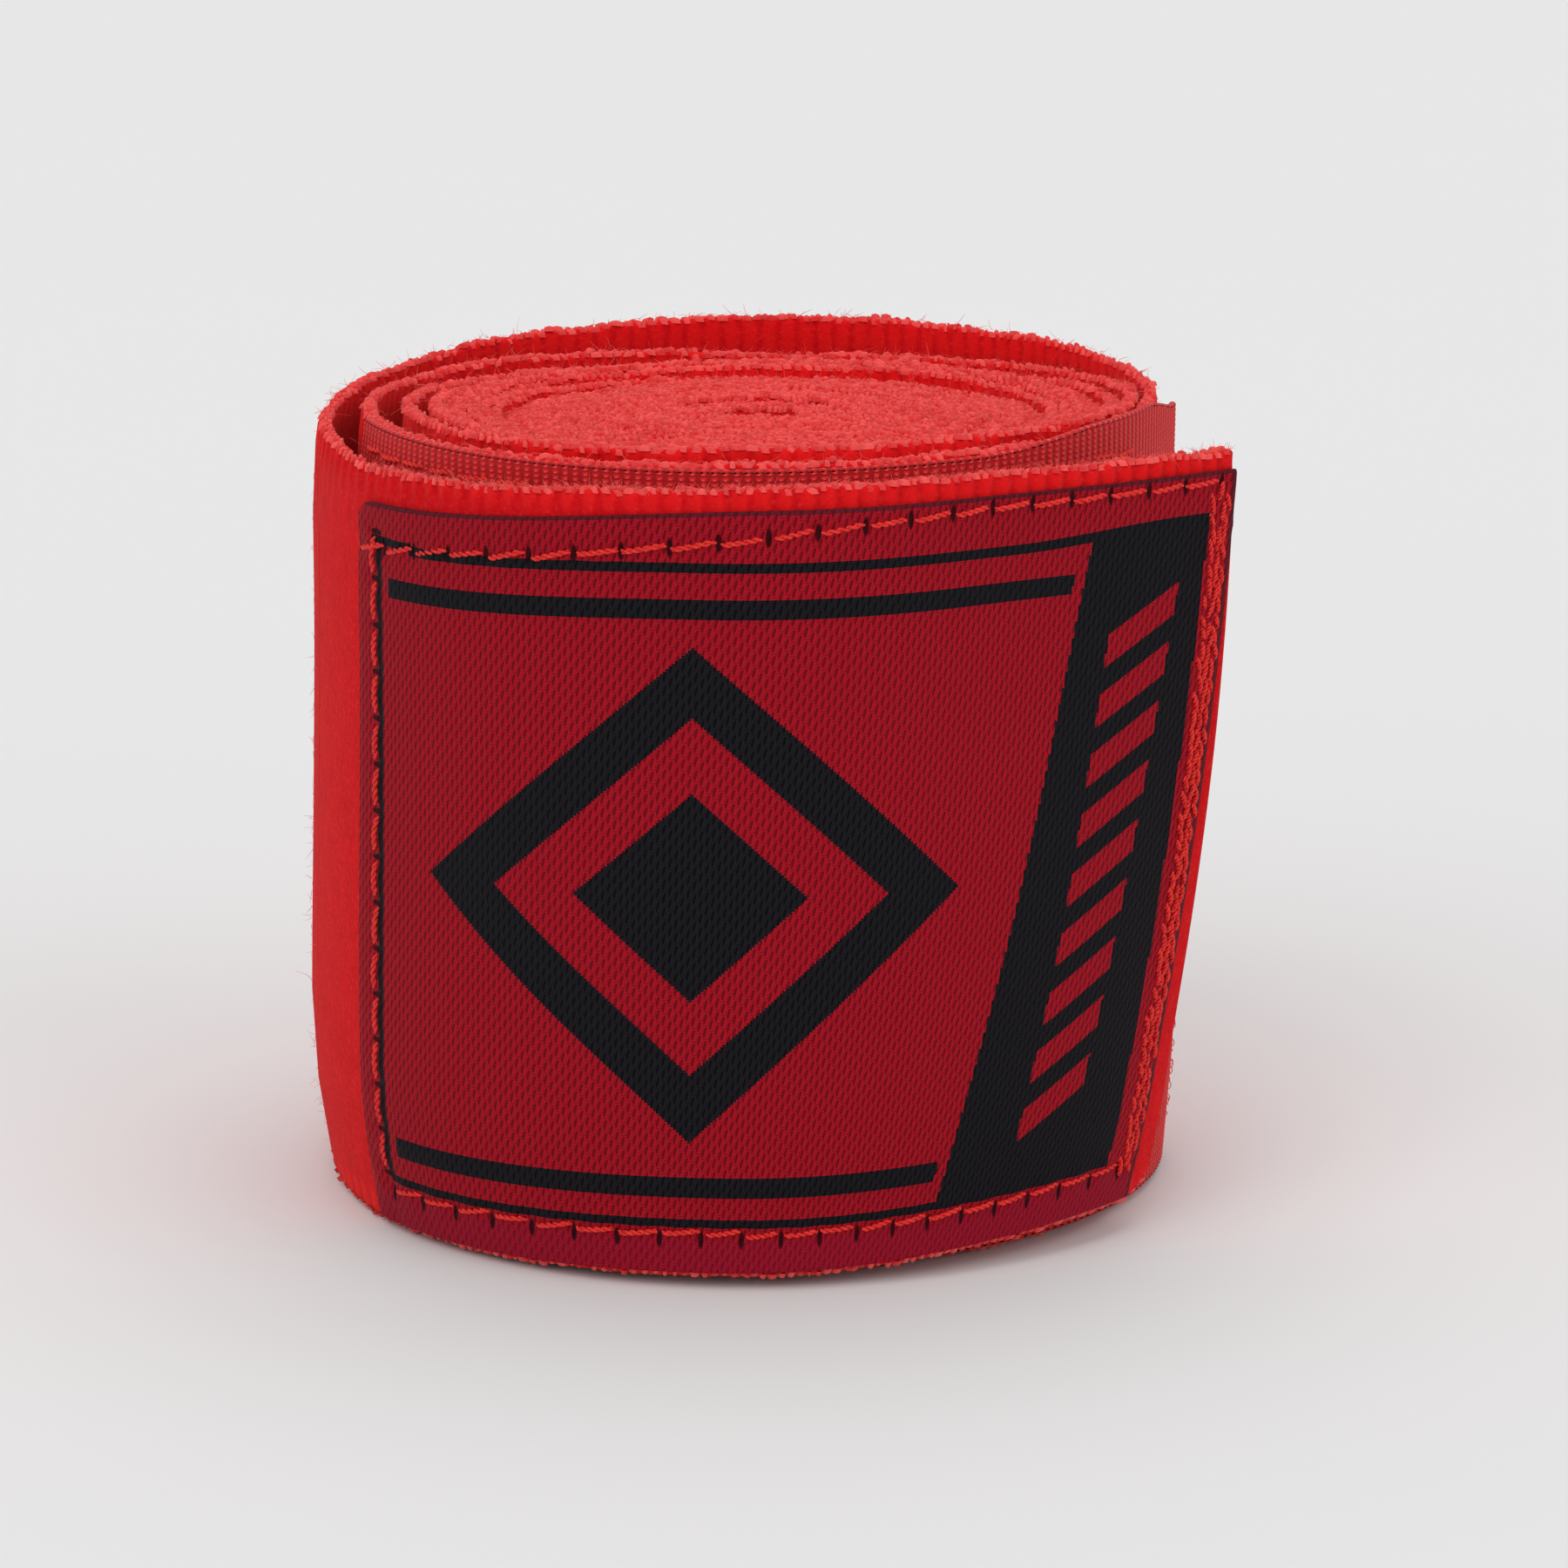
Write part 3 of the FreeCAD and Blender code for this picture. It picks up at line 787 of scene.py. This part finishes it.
def core_swell(s, z):
    """Swelling that fills the core between its turns, and nearly its hole, except round the thumb loop."""
    free = smooth(9.0, 13.0, np.abs(z - BAND_WIDTH / 2))
    share = free * (1 - smooth(8.6, 9.4, roll_radius(s)))
    turned = ROLL.turned_at(s)
    first = ROLL.turned[2]
    innermost = smooth(first - 50, first + 30, turned) * (1 - smooth(first + 330, first + 390, turned))
    return turn_gap(s, 1) * share, (turn_gap(s, -1) + 0.9 * innermost) * share


def make_roll():
    rows = [0.03, 0.12, 0.24, 0.32, 0.5, 0.68, 0.76, 0.88, 0.97]
    s = spaced(0.0, ROLL.total, roll_step)
    outer = HALF + NAP
    band = strip(
        "roll_band", on_roll, s, rows, -outer, outer, roll_bottom(s), roll_top(s), BAND,
        relief=band_relief, swell=core_swell,
    )
    attach(band, "roll", "wrap_band")
    knots = spaced(0.4, ROLL.total - 0.5, lambda s: 0.50 + 0.012 * roll_radius(s))
    grains = grain_rows(knots, *core_swell(knots, BAND_WIDTH))
    for name, height, up in (("roll_edge_top", roll_top, 1), ("roll_edge_bottom", roll_bottom, -1)):
        edge = knit_edge(name, on_roll, grains, height, YARN, up)
        attach(edge, "roll")


def make_roll_lint():
    count = 7000
    s = ROLL.total * rng.uniform(0, 1, count) ** 0.9
    heading = headings(count, (1.0, 1.0, 0.35), (0, 0, 0.25))
    fuzz = lint(
        "roll_top_lint", on_roll, s, rng.uniform(-0.35, 0.35, count), roll_top(s) + 0.12, heading,
        rng.uniform(0.25, 0.85, count), rng.uniform(0.012, 0.022, count), LINT,
    )
    attach(fuzz, "roll")
    count = 2600
    s = rng.uniform(ROLL.total - 185, ROLL.total - 1, count)
    heading = headings(count, (1.0, 0.25, 1.0), (0, 0.25, 0))
    fuzz = lint(
        "roll_side_lint", on_roll, s, np.full(count, HALF), rng.uniform(0.5, 49.0, count), heading,
        rng.uniform(0.3, 0.9, count), rng.uniform(0.010, 0.018, count), LINT,
    )
    attach(fuzz, "roll")


def make_loop_tape():
    edge = np.arange(0.12, 3.2, 0.12) / (LOOP_HIGH - LOOP_LOW)
    rows = np.concatenate([edge, [0.15, 0.3, 0.5, 0.7, 0.85], 1 - edge[::-1]])
    s = np.arange(0, LOOP.total, 0.16)
    top = LOOP_HIGH + 0.8 * smooth(46, 58, s) - 1.3 * smooth(64, LOOP.total, s)

    def relief(s, z):
        columns = np.cos(2 * math.pi * s / LOOP_DOT_U)
        return columns * (0.03 + 0.02 * np.cos(2 * math.pi * z / LOOP_DOT_V))

    tape = strip(
        "loop_tape", on_loop_tape, s, rows, HALF, HALF + LOOP_BASE, LOOP_LOW, top, LOOP_TAPE, 0.5, relief
    )
    attach(tape, "roll", "loop_fastener_patch")
    count = 2400
    root = np.stack([rng.uniform(1, LOOP.total - 1, count), rng.uniform(3.4, 46.4, count)], -1)
    turn = rng.uniform(0, 2 * math.pi, count)
    t = np.linspace(0, math.pi, 6)
    swing = np.stack([np.cos(turn), np.sin(turn)], -1)[:, None] * (0.3 * np.cos(t))[:, None]
    offset = HALF + LOOP_BASE - 0.05 + 0.24 * np.sin(t) * rng.uniform(0.7, 1.1, (count, 1))
    lines = np.stack([root[:, :1] + swing[..., 0], offset, root[:, 1:] + swing[..., 1]], -1)
    pile = tubes("loop_pile", on_loop_tape, lines, 0.035, 3, LINT, rng.uniform(0, 0.5, count))
    attach(pile, "roll")
    base = HALF + LOOP_BASE
    for name, node, z in (
        ("loop_stitches_top", "loop_patch_top_seam", 48.2),
        ("loop_stitches_bottom", "loop_patch_bottom_seam", 1.8),
    ):
        first = 1.2 + STITCH_PITCH * np.arange(21)
        start = np.stack([first, np.full(len(first), z)], -1)
        end = start + (STITCH_PITCH - 0.5, 0.1)
        thread = seam(name, on_loop_tape, start, end, base, RED_THREAD)
        attach(thread, "roll", node)
    low = 4.0 + STITCH_PITCH * np.arange(SIDE_COUNT)
    start = np.stack([np.full(SIDE_COUNT, 1.7), low], -1)
    thread = seam("loop_stitches_end", on_loop_tape, start, start + (0.0, 2.4), base, RED_THREAD)
    attach(thread, "roll", "loop_patch_end_seam")


def make_thumb_loop():
    """The loop that the thumb goes through, folded flat and wound in."""
    first = HALF + THUMB_GAP + THUMB_THICK / 2
    second = first + THUMB_THICK + THUMB_GAP
    end = THUMB_START + THUMB_LENGTH
    out = np.arange(THUMB_START, end, 0.5)
    fold = np.linspace(-math.pi / 2, math.pi / 2, 8)
    middle, reach = (first + second) / 2, (second - first) / 2
    s = np.concatenate([out, end + reach * np.cos(fold), out[::-1]])
    bend = middle + reach * np.sin(fold)
    offset = np.concatenate([np.full(len(out), first), bend, np.full(len(out), second)])
    facing = np.concatenate([np.full(len(out), -1.0), np.sin(fold), np.full(len(out), 1.0)])
    lean = np.concatenate([np.zeros(len(out)), np.cos(fold), np.zeros(len(out))])
    length = np.concatenate([[0], np.cumsum(np.hypot(np.diff(s), np.diff(offset)))])

    def on_thumb_tape(distance, lift, z):
        run = np.interp(distance, length, s) + lift * np.interp(distance, length, lean)
        rise = np.interp(distance, length, offset) + lift * np.interp(distance, length, facing)
        return on_roll(run, rise, z)

    low = (BAND_WIDTH - THUMB_WIDTH) / 2
    rows = np.linspace(0.05, 0.95, 15)
    half = THUMB_THICK / 2 - 0.01
    tape = strip("thumb_tape", on_thumb_tape, length, rows, -half, half, low, low + THUMB_WIDTH, THUMB_TAPE)
    attach(tape, "roll", "thumb_loop")
    bars = 9
    across = THUMB_START + 1 + 0.55 * np.arange(bars)
    start = np.stack([across, np.full(bars, low + 1)], -1)
    stop = np.stack([across + 0.5, np.full(bars, low + THUMB_WIDTH - 1)], -1)
    base = second + THUMB_THICK / 2
    thread = seam("thumb_bartack", on_roll, start, stop, base, RED_THREAD, rise=0.02, thickness=0.09)
    attach(thread, "roll", "thumb_loop_bartack")


# ---- pieces on the tab --------------------------------------------------------------------------------
def make_tab_band():
    rows = np.concatenate([[0.015], np.linspace(0.04, 0.96, 24), [0.985]])
    s = np.arange(0.0, TAB_LENGTH, 0.18)
    outer = HALF + NAP

    def past_roll(s, offset, z):
        return on_tab_band(s - ROLL.total, offset, z)

    band = strip(
        "tab_band", past_roll, ROLL.total + s, rows, -outer, outer, tab_bottom(s), tab_top(s), BAND,
        relief=band_relief,
    )
    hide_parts("closing_tab_band")
    pieces = [band]
    knots = np.arange(0.3, TAB_LENGTH - 0.3, 0.72)
    for name, height, up in (("tab_edge_top", tab_top, 1), ("tab_edge_bottom", tab_bottom, -1)):
        pieces.append(knit_edge(name, on_tab_band, grain_rows(knots), height, YARN, up))
    for piece in pieces:
        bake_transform(piece)


def make_tab_lint():
    count = 1500
    s = rng.uniform(LABEL_START, TAB_LENGTH - 1.2, count)
    heading = headings(count, (1.0, 0.6, 0.5), (0, 0.1, 0.3))
    fuzz = lint(
        "tab_lint", on_tab, s, rng.uniform(-0.35, 0.38, count), tab_top(s) + 0.08, heading,
        rng.uniform(0.2, 0.6, count), rng.uniform(0.010, 0.020, count), LINT,
    )
    attach(fuzz, "closing_tab")


def satin_lines(u, v):
    """Height of the black frame lines, which stand a little off the label."""
    sagged = v + LINE_SAG * (1 - smooth(*LINE_SPAN, u))
    thin = np.exp(-(((sagged - 43.6) / 0.35) ** 2)) + np.exp(-(((v - 2.8) / 0.35) ** 2))
    thick = np.exp(-(((sagged - 41.1) / 0.65) ** 4)) + np.exp(-(((v - 5.15) / 0.65) ** 4))
    ends = smooth(3.2, 3.8, u) * (1 - smooth(41.0, 45.0, u))
    return 0.06 * thin * smooth(4.5, 6.0, u) + 0.10 * thick * ends


def make_label():
    near = np.arange(0.0, 7.0, 0.22)
    between = np.arange(7.0, LABEL_HEIGHT - 7.0, 0.9)
    rows = np.concatenate([near[1:], between, LABEL_HEIGHT - near[::-1][:-1]]) / LABEL_HEIGHT
    s = LABEL_START + np.concatenate([np.arange(0, LABEL_LENGTH, 0.25), [LABEL_LENGTH]])

    def relief(s, z):
        u, v = s - LABEL_START, z - LABEL_LOW
        top_wave = np.cos(2 * math.pi * u / STITCH_PITCH)
        low_wave = np.cos(2 * math.pi * (u - LOW_FIRST) / STITCH_PITCH)
        pull = np.exp(-(((v - top_row(u)) / 0.8) ** 2)) * (0.6 + top_wave)
        pull = pull + np.exp(-(((v - ROW_LOW) / 0.8) ** 2)) * (0.6 + low_wave)
        column = np.cos(2 * math.pi * (v - SIDE_LOW) / STITCH_PITCH)
        side = np.exp(-(((u - SIDE_SEAM) / 0.8) ** 2)) * (0.6 + column)
        slow = 0.06 * np.sin(u / 4.1) * np.sin(v / 6.3 + 1)
        return slow + satin_lines(u, v) - 0.10 * pull - 0.09 * side

    low = LABEL_LOW - LABEL_HEM
    top = LABEL_LOW + LABEL_HEIGHT - TOP_SAG * (1 - smooth(0.0, TOP_SPAN, s - LABEL_START))
    top = top - 0.7 * np.exp((LABEL_START - s) / 0.35)
    label = strip(
        "label", on_tab, s, rows, HALF + 0.03, LABEL_TOP + 0.05, low, top, LABEL, 0.5, relief
    )
    attach(label, "closing_tab", "woven_label")


def top_row(u):
    return ROW_HIGH + ROW_RISE * smooth(*ROW_SPAN, u)


def low_row(u):
    return np.full(len(u), ROW_LOW)


def make_label_seams():
    for name, node, row, first, count in (
        ("label_stitches_top", "label_top_seam", top_row, 0.0, 21),
        ("label_stitches_bottom", "label_bottom_seam", low_row, LOW_FIRST, 20),
    ):
        left = first + STITCH_PITCH * np.arange(count)
        right = left + STITCH_PITCH
        start = np.stack([LABEL_START + left + 0.2, LABEL_LOW + row(left) - 0.12], -1)
        end = np.stack([LABEL_START + right - 0.2, LABEL_LOW + row(right) + 0.16], -1)
        end[:, 0] = np.minimum(end[:, 0], LABEL_START + LABEL_LENGTH - 0.3)
        thread = seam(name, on_tab, start, end, LABEL_TOP, RED_THREAD)
        attach(thread, "closing_tab", node)
    low = LABEL_LOW + SIDE_LOW + STITCH_PITCH * np.arange(SIDE_COUNT)
    start = np.stack([np.full(SIDE_COUNT, LABEL_START + SIDE_SEAM - 0.1), low + 0.25], -1)
    thread = seam("label_stitches_side", on_tab, start, start + (0.05, 2.4), LABEL_TOP, RED_THREAD)
    attach(thread, "closing_tab", "label_side_seam")


def make_tab_end_seam():
    """Close zigzag rows that hold the label at the free end."""
    starts, ends = [], []
    count = 42
    for column in range(3):
        low = LABEL_LOW + 1.4 + 0.5 * (column % 2) + 1.05 * np.arange(count)
        low = low + rng.normal(0, 0.12, count)
        u = LABEL_START + 60.4 + 0.5 * column + rng.normal(0, 0.08, count)
        slant = 0.3 if column % 2 else -0.3
        starts.append(np.stack([u - slant / 2, low], -1))
        ends.append(np.stack([u + slant / 2, low + rng.uniform(1.0, 1.5, count)], -1))
    thread = seam(
        "tab_end_stitches", on_tab, np.concatenate(starts), np.concatenate(ends), LABEL_TOP, RED_THREAD,
        thickness=0.09,
    )
    attach(thread, "closing_tab", "tab_end_seam")


def make_hook_tape():
    start, end = LABEL_START + 2.0, LABEL_START + LABEL_LENGTH - 2.0
    s = np.arange(start, end, 0.5)
    rows = np.linspace(0.02, 0.98, 60)
    tape = strip(
        "hook_tape", on_tab, s, rows, -HALF - HOOK_BASE, -HALF - 0.02, HOOK_LOW, HOOK_HIGH, HOOK_TAPE, 0.5
    )
    attach(tape, "closing_tab", "hook_fastener_patch")
    heights = np.arange(HOOK_LOW + 1, HOOK_HIGH - 1, 1.35)
    column, row = np.meshgrid(np.arange(start + 1, end - 1, 1.25), heights)
    root = np.stack([column.ravel(), row.ravel()], -1)
    root[:, 0] += 0.6 * (np.arange(len(root)) // column.shape[1] % 2)
    shape = np.array([[0, 0.05], [0, -0.2], [0.05, -0.36], [0.2, -0.45], [0.34, -0.38], [0.36, -0.26]])
    way = rng.choice([-1.0, 1.0], len(root))[:, None]
    offset = np.broadcast_to(-HALF - HOOK_BASE + shape[:, 1], (len(root), 6))
    lines = np.stack([root[:, :1] + 0 * offset, offset, root[:, 1:] + way * shape[:, 0]], -1)
    hooks = tubes("hook_pile", on_tab, lines, 0.085, 4, HOOK_TAPE)
    attach(hooks, "closing_tab")


# ---- stage --------------------------------------------------------------------------------------------
def make_stage():
    bpy.context.scene.view_settings.view_transform = "Standard"
    floor_mesh = bpy.data.meshes.new("floor")
    side = 3.0
    corners = [(-side, -side, 0), (side, -side, 0), (side, side, 0), (-side, side, 0)]
    floor_mesh.from_pydata(corners, [], [(0, 1, 2, 3)])
    floor = bpy.data.objects.new("floor", floor_mesh)
    floor_mesh.materials.append(floor_material())
    floor.location.z = -0.0002
    bpy.context.scene.collection.objects.link(floor)
    world = bpy.data.worlds.new("studio")
    world.use_nodes = True
    world.node_tree.nodes["Background"].inputs["Color"].default_value = (1, 1, 1, 1)
    world.node_tree.nodes["Background"].inputs["Strength"].default_value = 0.55
    bpy.context.scene.world = world
    for name, place, strength in (
        ("key", (-0.45, -0.65, 0.75), 0.8),
        ("fill", (0.65, -0.45, 0.45), 0.5),
        ("top", (0.05, 0.25, 0.95), 0.75),
    ):
        lamp = bpy.data.lights.new(name, "SUN")
        lamp.angle = math.radians(50)
        lamp.energy = strength
        light = bpy.data.objects.new(name, lamp)
        bpy.context.scene.collection.objects.link(light)
        light.location = place
        aim(light, (0, 0, 0.025))


def aim(thing, target):
    way = Vector(target) - thing.location
    thing.rotation_euler = way.to_track_quat("-Z", "Y").to_euler()


def make_camera():
    distance, elevation = 0.36, math.radians(13.5)
    target = (0.0012, 0.0, 0.0245)
    camera_data = bpy.data.cameras.new("camera")
    camera_data.lens = 128.0
    camera_data.sensor_width = 36.0
    camera_data.clip_start = 0.01
    camera = bpy.data.objects.new("camera", camera_data)
    camera.location = (
        target[0],
        target[1] - distance * math.cos(elevation),
        target[2] + distance * math.sin(elevation),
    )
    bpy.context.scene.collection.objects.link(camera)
    aim(camera, target)
    bpy.context.scene.camera = camera


make_camera()
make_stage()
make_roll()
make_roll_lint()
make_loop_tape()
make_thumb_loop()
make_tab_band()
make_tab_lint()
make_label()
make_label_seams()
make_tab_end_seam()
make_hook_tape()
